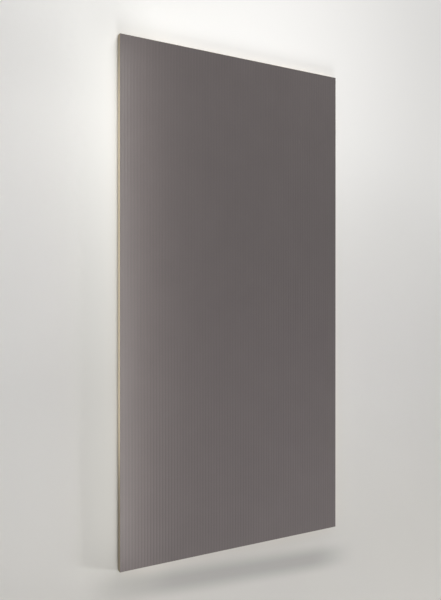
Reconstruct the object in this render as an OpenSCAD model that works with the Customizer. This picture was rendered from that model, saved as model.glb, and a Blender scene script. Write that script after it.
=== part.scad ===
// Decorative laminate sheet, a full 8 ft x 4 ft sheet of laminate-faced board.
// The face is pressed with fine reeds that run the whole length of the sheet, and
// the saw has trimmed all four edges square, so the tan board shows there.
// The sheet lies on its back with the decor face up. The origin is the centre of
// the back, +Y runs along the reeds and +X across them. Sizes are millimetres.

/* [Sheet] */
// Length of the sheet, along the reeds
sheet_length = 2440; // [300:1:3660]
// Width of the sheet, across the reeds
sheet_width = 1220; // [200:1:1830]
// Thickness of the tan board under the laminate
board_thickness = 25; // [4:0.5:40]

/* [Decor face] */
// Thickness of the laminate, from the board up to the crest of a reed
laminate_thickness = 1; // [0.8:0.1:2]
// Distance from one valley between reeds to the next
reed_pitch = 15; // [8:0.5:30]
// Depth of a valley below the crests beside it
reed_depth = 0.5; // [0.1:0.05:0.7]
// Flat facets that make up the round top of one reed
reed_facets = 12; // [4:2:16]

/* [Hidden] */
// Height of the crests, the top of the sheet
crest_z = board_thickness + laminate_thickness;
// A reed's top is an arc with the pitch for its chord and the depth for its rise
reed_radius = (pow(reed_pitch / 2, 2) + pow(reed_depth, 2)) / (2 * reed_depth);
// Width of one facet, and the facets between the middle of the sheet and an edge
facet_width = reed_pitch / reed_facets;
facets_to_edge = sheet_width / 2 / facet_width;

board_colour = "#BEB29A";
decor_colour = "#686161";

// Distance across the face from x to the crest of the reed that x lies on. The
// middle of the sheet is a valley, so both edges cut a reed at the same place.
function from_crest(x) = x - (floor(x / reed_pitch) + 0.5) * reed_pitch;

// Height of the face at x, on the arc of the reed there
function face_z(x) = crest_z - reed_radius + sqrt(pow(reed_radius, 2) - pow(from_crest(x), 2));

// The face from its right edge to its left edge, as [x, z] points on the reeds
function face_line() = let (edge = sheet_width / 2, last_facet = ceil(facets_to_edge) - 1) [
    [edge, face_z(edge)],
    for (facet = [last_facet : -1 : -last_facet])
        [facet * facet_width, face_z(facet * facet_width)],
    [-edge, face_z(-edge)]
];

// The line across the sheet at height z, from its left edge to its right edge
function level_line(z) = [[-sheet_width / 2, z], [sheet_width / 2, z]];

// The list's points in the opposite order
function reversed(points) = [for (i = [len(points) - 1 : -1 : 0]) points[i]];

// A layer of the sheet, between its lower and its upper line, along the whole length
module layer(lower_line, upper_line) {
    translate([0, sheet_length / 2, 0])
        rotate([90, 0, 0])
            linear_extrude(height = sheet_length)
                polygon(concat(lower_line, upper_line));
}

// The board: plain, square on all its edges, and bare on its edges and back
module board() {
    layer(level_line(0), reversed(level_line(board_thickness)));
}

// The laminate bonded to the board's face, reeded on top
module laminate() {
    layer(level_line(board_thickness), face_line());
}

// The whole sheet, pressed into one piece: tan at its edges and back, taupe on its face
module laminate_sheet() {
    union() {
        color(board_colour) board();
        color(decor_colour) laminate();
    }
}

laminate_sheet();
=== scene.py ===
"""Looks of the decorative laminate sheet, a full 8 ft x 4 ft board with a reeded face.

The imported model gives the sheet's box. Over it this script lays two closed pieces
that meet face to face, as the press bonds them: the tan fibreboard, and the dark
reeded laminate on top. Sizes are given in millimetres and made in metres. +Y runs
along the reeds, +X across them and +Z out of the decor face.
"""
import logging
import math
from dataclasses import dataclass
from enum import Enum
from typing import Callable

import bmesh
import bpy
import numpy as np
from mathutils import Matrix, Vector


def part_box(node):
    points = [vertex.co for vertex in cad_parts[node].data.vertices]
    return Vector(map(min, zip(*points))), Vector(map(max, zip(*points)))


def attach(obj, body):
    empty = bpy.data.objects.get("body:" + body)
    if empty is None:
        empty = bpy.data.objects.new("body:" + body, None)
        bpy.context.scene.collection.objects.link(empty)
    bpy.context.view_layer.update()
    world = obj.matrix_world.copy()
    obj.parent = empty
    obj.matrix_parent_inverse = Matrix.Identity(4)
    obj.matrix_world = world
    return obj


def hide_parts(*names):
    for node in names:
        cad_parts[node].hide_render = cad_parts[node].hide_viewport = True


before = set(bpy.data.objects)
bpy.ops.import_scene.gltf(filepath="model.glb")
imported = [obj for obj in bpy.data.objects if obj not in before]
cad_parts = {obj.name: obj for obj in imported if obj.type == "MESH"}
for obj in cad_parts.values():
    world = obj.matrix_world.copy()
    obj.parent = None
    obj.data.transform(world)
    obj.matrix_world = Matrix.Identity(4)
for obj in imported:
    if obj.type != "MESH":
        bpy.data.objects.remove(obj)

log = logging.getLogger("laminate_sheet")
MM = 0.001
# Points nearer to each other than this are welded into one, in mm
WELD = 0.001
# Most of a noise texture's values lie between these two
NOISE_LOW = 0.3
NOISE_HIGH = 0.7
CAD_NODE = "laminate_sheet"
BODY = "root"

Heights = Callable[[np.ndarray, np.ndarray], np.ndarray]


class Side(Enum):
    """The six sides of a slab that lies flat."""

    TOP = "top"
    UNDER = "under"
    LEFT = "left"
    RIGHT = "right"
    FOOT = "foot"
    HEAD = "head"


def linear(colour: str) -> tuple[float, float, float, float]:
    """Turns an sRGB hex colour into the linear colour that a shader takes.

    Args:
        colour: The colour as written, such as "#C8C6BF".

    Returns:
        Red, green, blue and a full alpha.
    """
    channels = [int(colour[i : i + 2], 16) / 255 for i in (1, 3, 5)]
    decoded = [c / 12.92 if c <= 0.04045 else ((c + 0.055) / 1.055) ** 2.4 for c in channels]
    return (*decoded, 1.0)


def add_node(
    tree: bpy.types.NodeTree,
    kind: str,
    settings: dict[str, object] | None = None,
    inputs: dict[str | int, object] | None = None,
) -> bpy.types.Node:
    """Adds one node to a tree, with its settings and what its inputs take.

    Args:
        tree: The material's or the world's node tree.
        kind: Blender's name for the node's class.
        settings: The node's own properties.
        inputs: For each input, by name or number, a value or another node's output.

    Returns:
        The new node.
    """
    node = tree.nodes.new(kind)
    for name, value in (settings or {}).items():
        setattr(node, name, value)
    for key, value in (inputs or {}).items():
        if isinstance(value, bpy.types.NodeSocket):
            tree.links.new(value, node.inputs[key])
        else:
            node.inputs[key].default_value = value
    return node


def new_material(name: str) -> tuple[bpy.types.Material, bpy.types.NodeTree]:
    """Makes an empty material that draws with nodes.

    Args:
        name: The material's and process's own name.

    Returns:
        The material and its node tree.
    """
    material = bpy.data.materials.new(name)
    material.use_nodes = True
    material.node_tree.nodes.clear()
    return material, material.node_tree


def stretch(across: float, along: float, up: float) -> tuple[float, float, float]:
    """Turns a pattern's size on each axis, in mm, into scales for Object coordinates."""
    return (1 / (across * MM), 1 / (along * MM), 1 / (up * MM))


def noise_swing(depth: float, middle: float = 1.0) -> dict[str, float]:
    """Inputs for a range node that turns noise into a swing to both sides of a value.

    Args:
        depth: How far the swing goes, negative where more noise lowers the value.
        middle: The value in the middle of the swing.

    Returns:
        The ends of the two ranges, by the names of the node's inputs.
    """
    return {
        "From Min": NOISE_LOW,
        "From Max": NOISE_HIGH,
        "To Min": middle - depth,
        "To Max": middle + depth,
    }


@dataclass(frozen=True)
class AtlasArea:
    """A rectangle of a piece's own texture map, in shares of the map."""

    bottom: float
    height: float
    left: float = 0.004
    width: float = 0.992

    def place(self, across: np.ndarray, along: np.ndarray) -> np.ndarray:
        """Spreads a grid over this area.

        Args:
            across: One share from 0 to 1 for each column of the grid.
            along: One share from 0 to 1 for each row of the grid.

        Returns:
            The map's coordinates, rows by columns by 2.
        """
        u, v = np.meshgrid(self.left + across * self.width, self.bottom + along * self.height)
        return np.stack([u, v], axis=-1)


@dataclass
class Patch:
    """One side of a slab: a grid of points, its place on the map and its material."""

    points: np.ndarray
    places: np.ndarray
    material: int

    def faces(self, first: int) -> np.ndarray:
        """The patch's quads, as the numbers of their corner points.

        Args:
            first: The number of the patch's first point in the whole mesh.

        Returns:
            One row of four point numbers for each quad.
        """
        rows, columns = self.points.shape[:2]
        number = first + np.arange(rows * columns).reshape(rows, columns)
        corners = [number[:-1, :-1], number[:-1, 1:], number[1:, 1:], number[1:, :-1]]
        return np.stack(corners, axis=-1).reshape(-1, 4)


def shares(values: np.ndarray) -> np.ndarray:
    """How far each value lies from the first to the last, from 0 to 1."""
    return (values - values[0]) / (values[-1] - values[0])


def slab_sides(
    xs: np.ndarray, ys: np.ndarray, top: Heights, under: Heights
) -> dict[Side, np.ndarray]:
    """Works out the six sides of a slab as grids of points.

    The top is the surface (x, y, top(x, y)) over all columns xs and rows ys, and the
    underside is (x, y, under(x, y)). Each wall is the straight surface between the
    top's border and the underside's border along one of the slab's four edges.

    Args:
        xs: The grid's columns, across the slab, rising.
        ys: The grid's rows, along the slab, rising.
        top: Height of the top at arrays of x and y.
        under: Height of the underside at arrays of x and y.

    Returns:
        For each side an array of points, rows by columns by 3.
    """
    x, y = np.meshgrid(xs, ys)
    upper = np.stack([x, y, top(x, y)], axis=-1)
    lower = np.stack([x, y, under(x, y)], axis=-1)
    return {
        Side.TOP: upper,
        Side.UNDER: lower,
        Side.LEFT: np.stack([lower[:, 0], upper[:, 0]]),
        Side.RIGHT: np.stack([lower[:, -1], upper[:, -1]]),
        Side.FOOT: np.stack([lower[0], upper[0]]),
        Side.HEAD: np.stack([lower[-1], upper[-1]]),
    }


def mapped(
    sides: dict[Side, np.ndarray],
    areas: dict[Side, tuple[AtlasArea, np.ndarray, np.ndarray, int]],
) -> list[Patch]:
    """Gives each side of a slab its area of the map and its material.

    Args:
        sides: The sides' points.
        areas: For each side its area, the shares of its columns and of its rows, and
            the number of its material.

    Returns:
        The sides as patches.
    """
    return [
        Patch(sides[side], area.place(columns, rows), material)
        for side, (area, columns, rows, material) in areas.items()
    ]


def welded_object(
    name: str, patches: list[Patch], materials: list[bpy.types.Material], crease_deg: float
) -> bpy.types.Object:
    """Joins patches into one closed mesh, and adds it to the scene.

    Args:
        name: The piece's name.
        patches: The sides, whose borders meet point on point. Their points are in mm.
        materials: The piece's materials, in the order that the patches number them.
        crease_deg: Edges that turn by more than this stay sharp.

    Returns:
        The piece's object, at the origin.
    """
    starts = np.cumsum([0] + [p.points.shape[0] * p.points.shape[1] for p in patches])
    points = np.concatenate([p.points.reshape(-1, 3) for p in patches]) * MM
    places = np.concatenate([p.places.reshape(-1, 2) for p in patches])
    faces = np.concatenate([p.faces(first) for p, first in zip(patches, starts)])
    slots = np.concatenate(
        [np.full((p.points.shape[0] - 1) * (p.points.shape[1] - 1), p.material) for p in patches]
    )

    mesh = bpy.data.meshes.new(name)
    mesh.from_pydata(points, [], faces)
    mesh.polygons.foreach_set("material_index", slots)
    uv_map = mesh.uv_layers.new(name="OFBake")
    uv_map.uv.foreach_set("vector", places[faces.ravel()].astype(np.float32).ravel())

    welding = bmesh.new()
    welding.from_mesh(mesh)
    bmesh.ops.remove_doubles(welding, verts=welding.verts, dist=WELD * MM)
    bmesh.ops.recalc_face_normals(welding, faces=welding.faces)
    welding.to_mesh(mesh)
    welding.free()

    mesh.shade_smooth()
    mesh.set_sharp_from_angle(angle=math.radians(crease_deg))
    for material in materials:
        mesh.materials.append(material)
    piece = bpy.data.objects.new(name, mesh)
    bpy.context.scene.collection.objects.link(piece)
    return piece


@dataclass(frozen=True)
class ReededMelamine:
    """High-pressure laminate: melamine resin over a paper with the decor print, from a reeded
    press plate.

    The press leaves a satin sheen with a soft highlight. The print has soft clouds and
    fine streaks along the reeds. The valleys between the reeds are a little darker,
    partly print in register with the reeds and partly painted shade.
    """

    name: str = "melamine_laminate_reeded_satin"
    crest_colour: str = "#625B5B"
    # The valleys are darker partly by print in register and partly by painted shade
    valley_print_and_shade_colour: str = "#5E5858"
    # Melamine resin bends light a little more than window glass does
    ior: float = 1.5
    roughness: float = 0.38
    roughness_swing: float = 0.012
    cloud_size: float = 150.0
    cloud_depth: float = 0.025
    # Real streaks are finer, and these are as fine as the saved texture can show
    streak_width: float = 4.0
    streak_length: float = 320.0
    streak_depth: float = 0.02
    # Fine tooth that the press plate leaves in the resin
    tooth_size: float = 0.9
    tooth_height: float = 0.012

    def make(self, reed_pitch: float) -> bpy.types.Material:
        """Builds the material.

        Args:
            reed_pitch: Distance between two valleys, in mm.

        Returns:
            The material, which reads Object coordinates.
        """
        material, tree = new_material(self.name)
        place = add_node(tree, "ShaderNodeTexCoord").outputs["Object"]
        axes = add_node(tree, "ShaderNodeSeparateXYZ", inputs={0: place})

        # Distance from the nearest valley, whose lines lie at whole pitches from the middle
        from_valley = add_node(
            tree,
            "ShaderNodeMath",
            {"operation": "PINGPONG"},
            {0: axes.outputs["X"], 1: reed_pitch / 2 * MM},
        )
        on_reed = add_node(
            tree,
            "ShaderNodeMapRange",
            {"interpolation_type": "SMOOTHSTEP"},
            {"Value": from_valley.outputs[0], "From Min": 0.0, "From Max": reed_pitch / 2 * MM},
        )
        # Valleys painted darker than the crests: print in register, and painted shade in the
        # hollows
        tone = add_node(
            tree,
            "ShaderNodeMix",
            {"data_type": "RGBA"},
            {
                "Factor": on_reed.outputs[0],
                6: linear(self.valley_print_and_shade_colour),
                7: linear(self.crest_colour),
            },
        )

        # The print's clouds and streaks, each as a share that lightens or darkens the tone
        clouds = add_node(
            tree,
            "ShaderNodeTexNoise",
            inputs={"Vector": place, "Scale": 1 / (self.cloud_size * MM), "Detail": 2.0},
        )
        cloud_share = add_node(
            tree,
            "ShaderNodeMapRange",
            inputs={"Value": clouds.outputs[0], **noise_swing(self.cloud_depth)},
        )
        stretched = add_node(
            tree,
            "ShaderNodeVectorMath",
            {"operation": "MULTIPLY"},
            {0: place, 1: stretch(self.streak_width, self.streak_length, self.streak_width)},
        )
        streaks = add_node(
            tree,
            "ShaderNodeTexNoise",
            inputs={"Vector": stretched.outputs[0], "Scale": 1.0, "Detail": 3.0},
        )
        streak_share = add_node(
            tree,
            "ShaderNodeMapRange",
            inputs={"Value": streaks.outputs[0], **noise_swing(self.streak_depth)},
        )
        both_shares = add_node(
            tree,
            "ShaderNodeMath",
            {"operation": "MULTIPLY"},
            {0: cloud_share.outputs[0], 1: streak_share.outputs[0]},
        )
        # The tone with its painted valley shade, under the print's clouds and streaks
        print_and_valley_shade = add_node(
            tree,
            "ShaderNodeMix",
            {"data_type": "RGBA", "blend_type": "MULTIPLY"},
            {"Factor": 1.0, 6: tone.outputs[2], 7: both_shares.outputs[0]},
        )

        # Handling and the plate's wear leave the sheen a little uneven
        sheen = add_node(
            tree,
            "ShaderNodeMapRange",
            inputs={
                "Value": clouds.outputs[0],
                **noise_swing(-self.roughness_swing, self.roughness),
            },
        )
        tooth = add_node(
            tree,
            "ShaderNodeTexNoise",
            inputs={"Vector": place, "Scale": 1 / (self.tooth_size * MM), "Detail": 2.0},
        )
        relief = add_node(
            tree,
            "ShaderNodeBump",
            inputs={
                "Strength": 1.0,
                "Distance": self.tooth_height * MM,
                "Height": tooth.outputs[0],
            },
        )
        shader = add_node(
            tree,
            "ShaderNodeBsdfPrincipled",
            inputs={
                "Base Color": print_and_valley_shade.outputs[2],
                "Roughness": sheen.outputs[0],
                "IOR": self.ior,
                "Normal": relief.outputs[0],
            },
        )
        add_node(tree, "ShaderNodeOutputMaterial", inputs={"Surface": shader.outputs[0]})
        return material


@dataclass(frozen=True)
class PhenolicCore:
    """Resin-soaked paper under the print, dark where the laminate's edge is trimmed."""

    name: str = "phenolic_paper_trimmed"
    colour: str = "#57493F"
    seam_colour: str = "#463A32"
    # Thickness of one layer of paper
    layer: float = 0.2
    seam_width: float = 0.05
    roughness: float = 0.6

    def make(self) -> bpy.types.Material:
        """Builds the material, with a thin dark seam between the layers of paper."""
        material, tree = new_material(self.name)
        place = add_node(tree, "ShaderNodeTexCoord").outputs["Object"]
        axes = add_node(tree, "ShaderNodeSeparateXYZ", inputs={0: place})
        from_seam = add_node(
            tree,
            "ShaderNodeMath",
            {"operation": "PINGPONG"},
            {0: axes.outputs["Z"], 1: self.layer / 2 * MM},
        )
        in_layer = add_node(
            tree,
            "ShaderNodeMapRange",
            {"interpolation_type": "SMOOTHSTEP"},
            {"Value": from_seam.outputs[0], "From Min": 0.0, "From Max": self.seam_width * MM},
        )
        tone = add_node(
            tree,
            "ShaderNodeMix",
            {"data_type": "RGBA"},
            {
                "Factor": in_layer.outputs[0],
                6: linear(self.seam_colour),
                7: linear(self.colour),
            },
        )
        shader = add_node(
            tree,
            "ShaderNodeBsdfPrincipled",
            inputs={"Base Color": tone.outputs[2], "Roughness": self.roughness},
        )
        add_node(tree, "ShaderNodeOutputMaterial", inputs={"Surface": shader.outputs[0]})
        return material


@dataclass(frozen=True)
class SawnFibreboard:
    """Medium-density fibreboard, cut by a panel saw: matt, tan and a little woolly.

    The press packs the fibres tighter near both faces, so the cut is darker there.
    """

    name: str = "fibreboard_sawn"
    core_colour: str = "#BCB09A"
    skin_colour: str = "#A6977D"
    fleck_colour: str = "#8F7F68"
    roughness: float = 0.88
    skin: float = 3.5
    # Felted fibres lie flat, so they are long along the edge and thin up it
    fibre_length: float = 7.0
    fibre_height: float = 1.4
    fibre_depth: float = 0.07
    # Steps that the saw's teeth leave as the board is fed past the blade
    tooth_step: float = 5.0
    tooth_depth: float = 0.025
    # The steps lean, by this share of the height above the back
    tooth_lean: float = 0.25
    # Flecks are this many times finer than the fibres, and show where noise passes fleck_from
    fleck_fineness: float = 2.3
    fleck_from: float = 0.6
    fleck_full: float = 0.78
    fleck_share: float = 0.6
    relief: float = 0.2
    relief_strength: float = 0.8
    # The saw's steps in the relief, beside fibres of 1
    step_relief: float = 0.5

    def make(self, thickness: float) -> bpy.types.Material:
        """Builds the material.

        Args:
            thickness: The board's thickness, in mm.

        Returns:
            The material, which reads Object coordinates.
        """
        material, tree = new_material(self.name)
        place = add_node(tree, "ShaderNodeTexCoord").outputs["Object"]
        axes = add_node(tree, "ShaderNodeSeparateXYZ", inputs={0: place})

        # Depth below the nearer of the board's two faces
        below_face = add_node(
            tree,
            "ShaderNodeMath",
            {"operation": "PINGPONG"},
            {0: axes.outputs["Z"], 1: thickness / 2 * MM},
        )
        in_core = add_node(
            tree,
            "ShaderNodeMapRange",
            {"interpolation_type": "SMOOTHSTEP"},
            {"Value": below_face.outputs[0], "From Min": 0.0, "From Max": self.skin * MM},
        )
        tone = add_node(
            tree,
            "ShaderNodeMix",
            {"data_type": "RGBA"},
            {
                "Factor": in_core.outputs[0],
                6: linear(self.skin_colour),
                7: linear(self.core_colour),
            },
        )

        flattened = add_node(
            tree,
            "ShaderNodeVectorMath",
            {"operation": "MULTIPLY"},
            {0: place, 1: stretch(self.fibre_length, self.fibre_length, self.fibre_height)},
        )
        fibres = add_node(
            tree,
            "ShaderNodeTexNoise",
            inputs={
                "Vector": flattened.outputs[0],
                "Scale": 1.0,
                "Detail": 5.0,
                "Roughness": 0.62,
            },
        )
        fibre_share = add_node(
            tree,
            "ShaderNodeMapRange",
            inputs={"Value": fibres.outputs[0], **noise_swing(self.fibre_depth)},
        )
        # X plus Y runs along each of the four edges, since the other of the two is fixed
        along_edge = add_node(
            tree,
            "ShaderNodeMath",
            {"operation": "ADD"},
            {0: axes.outputs["X"], 1: axes.outputs["Y"]},
        )
        leaning = add_node(
            tree,
            "ShaderNodeMath",
            {"operation": "MULTIPLY_ADD"},
            {0: axes.outputs["Z"], 1: self.tooth_lean, 2: along_edge.outputs[0]},
        )
        saw_steps = add_node(
            tree,
            "ShaderNodeTexNoise",
            {"noise_dimensions": "1D"},
            {"W": leaning.outputs[0], "Scale": 1 / (self.tooth_step * MM), "Detail": 2.0},
        )
        saw_share = add_node(
            tree,
            "ShaderNodeMapRange",
            inputs={"Value": saw_steps.outputs[0], **noise_swing(self.tooth_depth)},
        )
        both_shares = add_node(
            tree,
            "ShaderNodeMath",
            {"operation": "MULTIPLY"},
            {0: fibre_share.outputs[0], 1: saw_share.outputs[0]},
        )
        cut = add_node(
            tree,
            "ShaderNodeMix",
            {"data_type": "RGBA", "blend_type": "MULTIPLY"},
            {"Factor": 1.0, 6: tone.outputs[2], 7: both_shares.outputs[0]},
        )

        # Dark bits of bark and charred fibre
        bits = add_node(
            tree,
            "ShaderNodeTexNoise",
            inputs={"Vector": flattened.outputs[0], "Scale": self.fleck_fineness, "Detail": 2.0},
        )
        bit_mask = add_node(
            tree,
            "ShaderNodeMapRange",
            {"interpolation_type": "SMOOTHSTEP"},
            {
                "Value": bits.outputs[0],
                "From Min": self.fleck_from,
                "From Max": self.fleck_full,
                "To Max": self.fleck_share,
            },
        )
        speckled = add_node(
            tree,
            "ShaderNodeMix",
            {"data_type": "RGBA"},
            {"Factor": bit_mask.outputs[0], 6: cut.outputs[2], 7: linear(self.fleck_colour)},
        )

        height = add_node(
            tree,
            "ShaderNodeMath",
            {"operation": "MULTIPLY_ADD"},
            {0: saw_steps.outputs[0], 1: self.step_relief, 2: fibres.outputs[0]},
        )
        relief = add_node(
            tree,
            "ShaderNodeBump",
            inputs={
                "Strength": self.relief_strength,
                "Distance": self.relief * MM,
                "Height": height.outputs[0],
            },
        )
        shader = add_node(
            tree,
            "ShaderNodeBsdfPrincipled",
            inputs={
                "Base Color": speckled.outputs[2],
                "Roughness": self.roughness,
                "Normal": relief.outputs[0],
            },
        )
        add_node(tree, "ShaderNodeOutputMaterial", inputs={"Surface": shader.outputs[0]})
        return material


@dataclass(frozen=True)
class SandedFibreboard:
    """The board's bare back: fibreboard from a wide-belt sander, smooth and flecked."""

    name: str = "fibreboard_sanded"
    colour: str = "#BCAD8E"
    fleck_colour: str = "#9C8B6C"
    roughness: float = 0.75
    cloud_size: float = 90.0
    cloud_depth: float = 0.03
    # Grit lines are finer than this, but these are as fine as the saved texture can show
    line_width: float = 4.0
    line_length: float = 500.0
    line_depth: float = 0.025
    fleck_size: float = 9.0
    fleck_from: float = 0.6
    fleck_full: float = 0.75
    fleck_share: float = 0.5

    def make(self) -> bpy.types.Material:
        """Builds the material, which reads Object coordinates."""
        material, tree = new_material(self.name)
        place = add_node(tree, "ShaderNodeTexCoord").outputs["Object"]
        clouds = add_node(
            tree,
            "ShaderNodeTexNoise",
            inputs={"Vector": place, "Scale": 1 / (self.cloud_size * MM), "Detail": 3.0},
        )
        cloud_share = add_node(
            tree,
            "ShaderNodeMapRange",
            inputs={"Value": clouds.outputs[0], **noise_swing(self.cloud_depth)},
        )
        stretched = add_node(
            tree,
            "ShaderNodeVectorMath",
            {"operation": "MULTIPLY"},
            {0: place, 1: stretch(self.line_width, self.line_length, self.line_width)},
        )
        lines = add_node(
            tree,
            "ShaderNodeTexNoise",
            inputs={"Vector": stretched.outputs[0], "Scale": 1.0, "Detail": 3.0},
        )
        line_share = add_node(
            tree,
            "ShaderNodeMapRange",
            inputs={"Value": lines.outputs[0], **noise_swing(self.line_depth)},
        )
        both_shares = add_node(
            tree,
            "ShaderNodeMath",
            {"operation": "MULTIPLY"},
            {0: cloud_share.outputs[0], 1: line_share.outputs[0]},
        )
        flecks = add_node(
            tree,
            "ShaderNodeTexNoise",
            inputs={"Vector": place, "Scale": 1 / (self.fleck_size * MM), "Detail": 4.0},
        )
        fleck_mask = add_node(
            tree,
            "ShaderNodeMapRange",
            {"interpolation_type": "SMOOTHSTEP"},
            {
                "Value": flecks.outputs[0],
                "From Min": self.fleck_from,
                "From Max": self.fleck_full,
                "To Max": self.fleck_share,
            },
        )
        tone = add_node(
            tree,
            "ShaderNodeMix",
            {"data_type": "RGBA"},
            {
                "Factor": fleck_mask.outputs[0],
                6: linear(self.colour),
                7: linear(self.fleck_colour),
            },
        )
        sanded = add_node(
            tree,
            "ShaderNodeMix",
            {"data_type": "RGBA", "blend_type": "MULTIPLY"},
            {"Factor": 1.0, 6: tone.outputs[2], 7: both_shares.outputs[0]},
        )
        shader = add_node(
            tree,
            "ShaderNodeBsdfPrincipled",
            inputs={"Base Color": sanded.outputs[2], "Roughness": self.roughness},
        )
        add_node(tree, "ShaderNodeOutputMaterial", inputs={"Surface": shader.outputs[0]})
        return material


@dataclass
class ReededLaminate:
    """The 1 mm decor laminate on top of the board, with reeds along its length."""

    high: Vector
    name: str = "reeded_laminate"
    thickness: float = 1.0
    reed_pitch: float = 15.0
    reed_depth: float = 0.5
    # How softly the press plate's valleys are rounded, as a share of half a reed
    valley_softness: float = 0.08
    # The file takes this much off the trimmed corner of the face
    arris: float = 0.25
    columns_per_reed: int = 16
    rows: int = 24
    crease_deg: float = 30.0

    def face_height(self, x: np.ndarray) -> np.ndarray:
        """Height of the reeded face at x, before its arrises are filed.

        With s the distance from the nearest valley as a share of half a reed, and q
        that share rounded off near 0, the reed rises above its valley by the depth
        times q (2 - q), a parabola that is level on the crest.

        Args:
            x: Places across the sheet, in mm.

        Returns:
            The heights, in mm.
        """
        share = 2 * np.abs(x / self.reed_pitch - np.round(x / self.reed_pitch))
        soft = self.valley_softness
        rounded = (np.hypot(share, soft) - soft) / (math.hypot(1, soft) - soft)
        return self.high.z / MM - self.reed_depth + self.reed_depth * rounded * (2 - rounded)

    def columns(self) -> np.ndarray:
        """Places of the grid's columns across the sheet, closer together in the valleys.

        Within a reed they are the mean of even steps and of steps along a half
        circle, (1 - cos(pi t)) / 2.

        Returns:
            The columns' x, in mm, rising from edge to edge.
        """
        edge = self.high.x / MM
        step = np.arange(self.columns_per_reed) / self.columns_per_reed
        within = (step + (1 - np.cos(math.pi * step)) / 2) / 2
        reeds = np.arange(-math.ceil(edge / self.reed_pitch), math.ceil(edge / self.reed_pitch))
        xs = ((reeds[:, None] + within[None, :]) * self.reed_pitch).ravel()
        inside = xs[np.abs(xs) < edge - 2 * self.arris]
        return np.concatenate([[-edge, -edge + self.arris], inside, [edge - self.arris, edge]])

    def row_places(self) -> np.ndarray:
        """Places of the grid's rows along the sheet, with one row at each arris."""
        end = self.high.y / MM
        inner = np.linspace(-end + self.arris, end - self.arris, self.rows)
        return np.concatenate([[-end], inner, [end]])

    def build(self, finishes: list[bpy.types.Material]) -> bpy.types.Object:
        """Makes the laminate as one closed mesh.

        Args:
            finishes: The decor face's material, then the trimmed core's.

        Returns:
            The piece.
        """
        xs, ys = self.columns(), self.row_places()
        edge, end = xs[-1], ys[-1]
        bond = self.high.z / MM - self.thickness

        def top(x: np.ndarray, y: np.ndarray) -> np.ndarray:
            """Height of the face, dropped by the arris along its border."""
            on_border = (np.abs(x) >= edge) | (np.abs(y) >= end)
            return self.face_height(x) - self.arris * on_border

        def under(x: np.ndarray, y: np.ndarray) -> np.ndarray:
            """Height of the glue line, the same everywhere."""
            return np.full_like(x, bond)

        sides = slab_sides(xs, ys, top, under)
        across, along = shares(xs), shares(ys)
        wall = np.array([0.0, 1.0])
        decor, core = range(2)
        areas = {
            Side.TOP: (AtlasArea(0.004, 0.84), across, along, decor),
            Side.UNDER: (AtlasArea(0.97, 0.026), across, along, core),
            Side.LEFT: (AtlasArea(0.85, 0.02), along, wall, core),
            Side.RIGHT: (AtlasArea(0.88, 0.02), along, wall, core),
            Side.FOOT: (AtlasArea(0.91, 0.02), across, wall, core),
            Side.HEAD: (AtlasArea(0.94, 0.02), across, wall, core),
        }
        return welded_object(self.name, mapped(sides, areas), finishes, self.crease_deg)

    def dress(self) -> bpy.types.Object:
        """Builds the laminate with its finishes, and fixes it to the sheet."""
        piece = self.build([ReededMelamine().make(self.reed_pitch), PhenolicCore().make()])
        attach(piece, BODY)
        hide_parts(CAD_NODE)
        return piece


@dataclass
class FibreBoard:
    """The board under the laminate, square-sawn on its edges and plain on its back."""

    low: Vector
    high: Vector
    laminate_thickness: float
    name: str = "fibre_board"
    # Handling and the saw's exit take this much off the corner of the back
    arris: float = 0.4
    columns: int = 24
    rows: int = 48
    crease_deg: float = 30.0

    def build(self, finishes: list[bpy.types.Material]) -> bpy.types.Object:
        """Makes the board as one closed mesh.

        Args:
            finishes: The sawn edges' material, then the sanded back's.

        Returns:
            The piece.
        """
        edge, end = self.high.x / MM, self.high.y / MM
        low = self.low.z / MM
        bond = self.high.z / MM - self.laminate_thickness
        inner_x = np.linspace(-edge + self.arris, edge - self.arris, self.columns)
        inner_y = np.linspace(-end + self.arris, end - self.arris, self.rows)
        xs = np.concatenate([[-edge], inner_x, [edge]])
        ys = np.concatenate([[-end], inner_y, [end]])

        def top(x: np.ndarray, y: np.ndarray) -> np.ndarray:
            """Height of the glue line, the same everywhere."""
            return np.full_like(x, bond)

        def under(x: np.ndarray, y: np.ndarray) -> np.ndarray:
            """Height of the back, raised by the arris along its border."""
            on_border = (np.abs(x) >= edge) | (np.abs(y) >= end)
            return low + self.arris * on_border

        sides = slab_sides(xs, ys, top, under)
        across, along = shares(xs), shares(ys)
        wall = np.array([0.0, 1.0])
        sawn, sanded = range(2)
        areas = {
            Side.UNDER: (AtlasArea(0.004, 0.72), across, along, sanded),
            Side.LEFT: (AtlasArea(0.735, 0.05), along, wall, sawn),
            Side.RIGHT: (AtlasArea(0.795, 0.05), along, wall, sawn),
            Side.FOOT: (AtlasArea(0.855, 0.05), across, wall, sawn),
            Side.HEAD: (AtlasArea(0.915, 0.05), across, wall, sawn),
            Side.TOP: (AtlasArea(0.975, 0.02), across, along, sawn),
        }
        return welded_object(self.name, mapped(sides, areas), finishes, self.crease_deg)

    def dress(self) -> bpy.types.Object:
        """Builds the board with its finish, and fixes it to the sheet."""
        thickness = (self.high.z - self.low.z) / MM - self.laminate_thickness
        piece = self.build([SawnFibreboard().make(thickness), SandedFibreboard().make()])
        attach(piece, BODY)
        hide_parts(CAD_NODE)
        return piece


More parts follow.
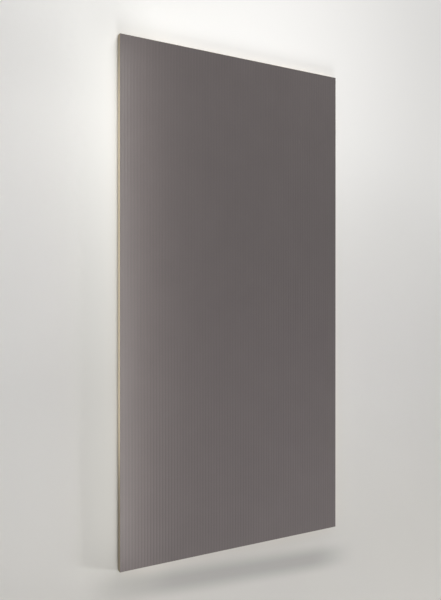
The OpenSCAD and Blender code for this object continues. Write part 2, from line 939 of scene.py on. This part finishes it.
@dataclass(frozen=True)
class Softbox:
    """A rectangular studio lamp, with its place, aim and size in mm.

    A grid in front of the lamp keeps its light within the spread, and 180 is no grid.
    A lamp without sheen lights what it shines on, but no satin surface mirrors it.
    """

    name: str
    place: tuple[float, float, float]
    aim: tuple[float, float, float]
    width: float
    length: float
    watts: float
    colour: str = "#FFFFFF"
    spread_deg: float = 180.0
    sheen: bool = True

    def hang(self) -> None:
        """Adds the lamp to the scene, its long side along +Y as nearly as its aim lets it."""
        light = bpy.data.lights.new(self.name, "AREA")
        light.shape = "RECTANGLE"
        light.size = self.width * MM
        light.size_y = self.length * MM
        light.spread = math.radians(self.spread_deg)
        light.energy = self.watts
        light.color = linear(self.colour)[:3]
        lamp = bpy.data.objects.new(self.name, light)
        back = (Vector(self.place) - Vector(self.aim)).normalized()
        side = Vector((0, 1, 0)).cross(back).normalized()
        turn = Matrix((side, back.cross(side), back)).transposed()
        lamp.matrix_world = Matrix.Translation(Vector(self.place) * MM) @ turn.to_4x4()
        lamp.visible_camera = False
        lamp.visible_glossy = self.sheen
        bpy.context.scene.collection.objects.link(lamp)


@dataclass(frozen=True)
class Pool:
    """A part of the floor that is painted lighter or darker than the rest. Lighter pools are
    painted light, and darker pools are painted shade.

    The weight is the change at its fullest. Each ramp has an axis, the place where the
    pool starts and the place where it is full, in mm. A pool is full only where all
    its ramps are. The axis T is Y turned a little, and the axis R is the distance from
    the floor's brightest point.
    """

    weight: float
    ramps: tuple[tuple[str, float, float], ...]


@dataclass(frozen=True)
class PaintedFloor:
    """A studio floor in matt paint, with painted light and shade: light at the head of the sheet
    and darker at its foot.

    The pools are painted shade that evens out the lamps that stand close over the floor, and
    painted light that brightens the floor at the head and far to the left. The last pool is
    a painted soft shadow under the foot. The floor has no back, so that the sheet's own back
    shows from below, and it fades into the surround far from the sheet.
    """

    name: str = "matt_paint_with_painted_light_and_shade"
    # Painted light and shade: the paint runs from the foot colour up to the head colour
    foot_colour: str = "#BAB8B4"
    head_colour: str = "#F3F2F0"
    foot_y: float = -1690.0
    head_y: float = 970.0
    # Centre of the pool of painted light near the head
    brightest: tuple[float, float, float] = (-85.0, 1430.0, 0.0)
    # The shadow under the foot isn't quite along it: it moves off by this share of X
    shadow_turn: float = 0.066
    fade_from: float = 2400.0
    fade_to: float = 4200.0
    roughness: float = 0.9
    pools: tuple[Pool, ...] = (
        # Painted shade, darker towards the head beyond the sheet's middle
        Pool(-0.34, (("Y", 600, 2260),)),
        # Painted shade left of the sheet's middle stretch, against the low lamp from the left
        Pool(-0.20, (("Y", -1140, -300), ("Y", 1500, 935), ("X", -300, -500))),
        # Painted shade, darker still far towards the head
        Pool(-0.45, (("Y", 2000, 3200),)),
        # Painted shade along the left edge, against the glows' light on the floor
        Pool(
            -0.15,
            (("X", -810, -605), ("X", -400, -620), ("Y", -1500, -1200), ("Y", 1500, 1200)),
        ),
        # Painted light, lighter far to the left
        Pool(0.12, (("X", -670, -1190),)),
        # Painted light, a pool round the brightest point near the head
        Pool(0.345, (("R", 1590, 0),)),
        # Painted shadow under the foot
        Pool(
            -0.30,
            (("T", -1258, -1340), ("T", -1440, -1358), ("X", -850, -300), ("X", 800, 450)),
        ),
    )

    def make(self) -> bpy.types.Material:
        """Builds the material, which reads Object coordinates."""
        material, tree = new_material(self.name)
        place = add_node(tree, "ShaderNodeTexCoord").outputs["Object"]
        axes = add_node(tree, "ShaderNodeSeparateXYZ", inputs={0: place})
        away = add_node(
            tree,
            "ShaderNodeVectorMath",
            {"operation": "DISTANCE"},
            {0: place, 1: Vector(self.brightest) * MM},
        )
        turned = add_node(
            tree,
            "ShaderNodeMath",
            {"operation": "MULTIPLY_ADD"},
            {0: axes.outputs["X"], 1: self.shadow_turn, 2: axes.outputs["Y"]},
        )
        measures = {
            "X": axes.outputs["X"],
            "Y": axes.outputs["Y"],
            "T": turned.outputs[0],
            "R": away.outputs["Value"],
        }

        # Painted light and shade, lighter towards the head and darker towards the foot
        along = add_node(
            tree,
            "ShaderNodeMapRange",
            {"interpolation_type": "SMOOTHSTEP"},
            {
                "Value": axes.outputs["Y"],
                "From Min": self.foot_y * MM,
                "From Max": self.head_y * MM,
            },
        )
        tone = add_node(
            tree,
            "ShaderNodeMix",
            {"data_type": "RGBA"},
            {
                "Factor": along.outputs[0],
                6: linear(self.foot_colour),
                7: linear(self.head_colour),
            },
        )
        painted = tone.outputs[2]
        # Each pool scales the paint: painted light where it lightens, painted shade where it
        # darkens
        for pool in self.pools:
            fullness: bpy.types.NodeSocket | float = 1.0
            for axis, start, full in pool.ramps:
                ramp = add_node(
                    tree,
                    "ShaderNodeMapRange",
                    {"interpolation_type": "SMOOTHSTEP"},
                    {"Value": measures[axis], "From Min": start * MM, "From Max": full * MM},
                )
                fullness = add_node(
                    tree,
                    "ShaderNodeMath",
                    {"operation": "MULTIPLY"},
                    {0: ramp.outputs[0], 1: fullness},
                ).outputs[0]
            share = add_node(
                tree,
                "ShaderNodeMath",
                {"operation": "MULTIPLY_ADD"},
                {0: fullness, 1: pool.weight, 2: 1.0},
            )
            painted = add_node(
                tree,
                "ShaderNodeVectorMath",
                {"operation": "SCALE"},
                {0: painted, "Scale": share.outputs[0]},
            ).outputs[0]

        paint = add_node(
            tree,
            "ShaderNodeBsdfPrincipled",
            inputs={
                "Base Color": painted,
                "Roughness": self.roughness,
                "Specular IOR Level": 0.0,
            },
        )
        clear = add_node(tree, "ShaderNodeBsdfTransparent")
        from_below = add_node(tree, "ShaderNodeNewGeometry").outputs["Backfacing"]
        far_off = add_node(tree, "ShaderNodeVectorMath", {"operation": "LENGTH"}, {0: place})
        fade = add_node(
            tree,
            "ShaderNodeMapRange",
            {"interpolation_type": "SMOOTHSTEP"},
            {
                "Value": far_off.outputs["Value"],
                "From Min": self.fade_from * MM,
                "From Max": self.fade_to * MM,
            },
        )
        clear_share = add_node(
            tree, "ShaderNodeMath", {"operation": "MAXIMUM"}, {0: from_below, 1: fade.outputs[0]}
        )
        seen = add_node(
            tree,
            "ShaderNodeMixShader",
            inputs={0: clear_share.outputs[0], 1: paint.outputs[0], 2: clear.outputs[0]},
        )
        add_node(tree, "ShaderNodeOutputMaterial", inputs={"Surface": seen.outputs[0]})
        return material


@dataclass
class Studio:
    """The pale floor, the soft lamps, the surround and the camera."""

    sheet_low: Vector
    sheet_high: Vector
    lamps: list[Softbox]
    floor_reach: float = 6000.0
    # The sheet stands this far clear of the floor, so that the two don't share a plane
    floor_gap: float = 0.2
    # The opening in the floor lies this far inside the sheet's edges
    opening_inset: float = 3.0
    surround_colour: str = "#F2F1EF"
    # The surround lights the sheet at the first level, and is seen and mirrored at the second
    surround_level: float = 0.30
    backdrop_level: float = 0.8
    # The photograph is 441 x 600, and its lens is given for the 36 mm of the long side
    lens: float = 37.18
    camera_place: tuple[float, float] = (-1509.3, 17.9)
    camera_above_face: float = 2693.3
    # How far the camera leans off plumb, towards +X and towards +Y
    lean_deg: float = 27.68
    pitch_deg: float = -0.087

    def lay_floor(self) -> None:
        """Lays the floor, which isn't part of the object.

        It has an opening under the sheet, so that light from below reaches the back.
        """
        z = self.sheet_low.z - self.floor_gap * MM
        outer = np.full(2, self.floor_reach * MM)
        inner = np.array(self.sheet_high.xy) - self.opening_inset * MM
        ring = np.array([(-1, -1), (1, -1), (1, 1), (-1, 1)])
        corners = [(x, y, z) for x, y in np.concatenate([ring * outer, ring * inner])]
        strips = [(i, (i + 1) % 4, (i + 1) % 4 + 4, i + 4) for i in range(4)]
        mesh = bpy.data.meshes.new("studio_floor")
        mesh.from_pydata(corners, [], strips)
        mesh.materials.append(PaintedFloor().make())
        floor = bpy.data.objects.new("studio_floor", mesh)
        bpy.context.scene.collection.objects.link(floor)

    def light_surround(self) -> None:
        """Fills the world with even light, paler where it is seen or mirrored."""
        world = bpy.data.worlds.new("studio_surround")
        world.use_nodes = True
        tree = world.node_tree
        tree.nodes.clear()
        ray = add_node(tree, "ShaderNodeLightPath").outputs
        seen = add_node(
            tree,
            "ShaderNodeMath",
            {"operation": "MAXIMUM"},
            {0: ray["Is Camera Ray"], 1: ray["Is Glossy Ray"]},
        )
        through = add_node(
            tree,
            "ShaderNodeMath",
            {"operation": "MAXIMUM"},
            {0: seen.outputs[0], 1: ray["Is Transmission Ray"]},
        )
        level = add_node(
            tree,
            "ShaderNodeMapRange",
            inputs={
                "Value": through.outputs[0],
                "To Min": self.surround_level,
                "To Max": self.backdrop_level,
            },
        )
        glow = add_node(
            tree,
            "ShaderNodeBackground",
            inputs={"Color": linear(self.surround_colour), "Strength": level.outputs[0]},
        )
        add_node(tree, "ShaderNodeOutputWorld", inputs={"Surface": glow.outputs[0]})
        bpy.context.scene.world = world

    def set_camera(self) -> None:
        """Stands the camera over the sheet, where the photograph was taken from."""
        data = bpy.data.cameras.new("camera")
        data.lens = self.lens
        data.sensor_width = 36.0
        data.clip_end = 100.0
        camera = bpy.data.objects.new("camera", data)
        lean, pitch = math.radians(self.lean_deg), math.radians(self.pitch_deg)
        forward = Vector(
            (math.sin(lean) * math.cos(pitch), math.sin(pitch), -math.cos(lean) * math.cos(pitch))
        )
        right = Vector((math.cos(lean), 0, math.sin(lean)))
        turn = Matrix((right, right.cross(forward), -forward)).transposed()
        place = Vector((*self.camera_place, 0)) * MM
        place.z = self.sheet_high.z + self.camera_above_face * MM
        camera.matrix_world = Matrix.Translation(place) @ turn.to_4x4()
        bpy.context.scene.collection.objects.link(camera)
        bpy.context.scene.camera = camera

    def build(self) -> None:
        """Sets up the whole studio."""
        self.set_camera()
        self.lay_floor()
        self.light_surround()
        for lamp in self.lamps:
            lamp.hang()
        bpy.context.scene.view_settings.view_transform = "Standard"


def studio_lamps() -> list[Softbox]:
    """The lamps that stand around the sheet, with their places and sizes in mm.

    Returns:
        Two fills, two glows along the left edge, a low lamp from each side, and one
        under the sheet for its back.
    """
    left_border = (-572, 0, 0)
    return [
        Softbox(
            "head_fill",
            place=(1000, 4800, 2000),
            aim=(0, 0, 0),
            width=2800,
            length=1500,
            watts=209,
            sheen=False,
        ),
        Softbox(
            "foot_fill",
            place=(0, -4800, 2000),
            aim=(0, 0, 0),
            width=1900,
            length=1500,
            watts=142,
            sheen=False,
        ),
        # Tubes close over the left edge, which brighten the face along it
        Softbox(
            "edge_glow_low",
            place=(-572, 0, 206),
            aim=left_border,
            width=60,
            length=2480,
            watts=1.6,
            colour="#FFFEF8",
        ),
        Softbox(
            "edge_glow_high",
            place=(-572, 0, 476),
            aim=left_border,
            width=60,
            length=2600,
            watts=1.2,
            colour="#FFFEF8",
        ),
        # A low lamp from the right, which brings out the reeds at the foot
        Softbox(
            "foot_rake",
            place=(8000, -3600, 1050),
            aim=(0, -1150, 0),
            width=900,
            length=1600,
            watts=30,
            spread_deg=25,
            sheen=False,
        ),
        # A low lamp from the left, for the middle and the head of the tan edge
        Softbox(
            "edge_slab",
            place=(-3000, 170, 140),
            aim=(-610, 170, 13),
            width=60,
            length=1800,
            watts=1.05,
            spread_deg=12,
            sheen=False,
        ),
        Softbox(
            "under_fill",
            place=(0, -1200, -3000),
            aim=(0, 0, 0),
            width=2400,
            length=2400,
            watts=90,
            sheen=False,
        ),
    ]


def main() -> None:
    """Builds the sheet's pieces and the studio, and logs how many faces each piece has."""
    logging.basicConfig(level=logging.INFO, format="%(name)s: %(message)s")
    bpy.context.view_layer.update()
    low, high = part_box(CAD_NODE)

    laminate = ReededLaminate(high)
    board = FibreBoard(low, high, laminate.thickness)
    for piece in (board.dress(), laminate.dress()):
        log.info("%s: %d faces", piece.name, len(piece.data.polygons))

    Studio(low, high, studio_lamps()).build()


if __name__ == "__main__":
    main()
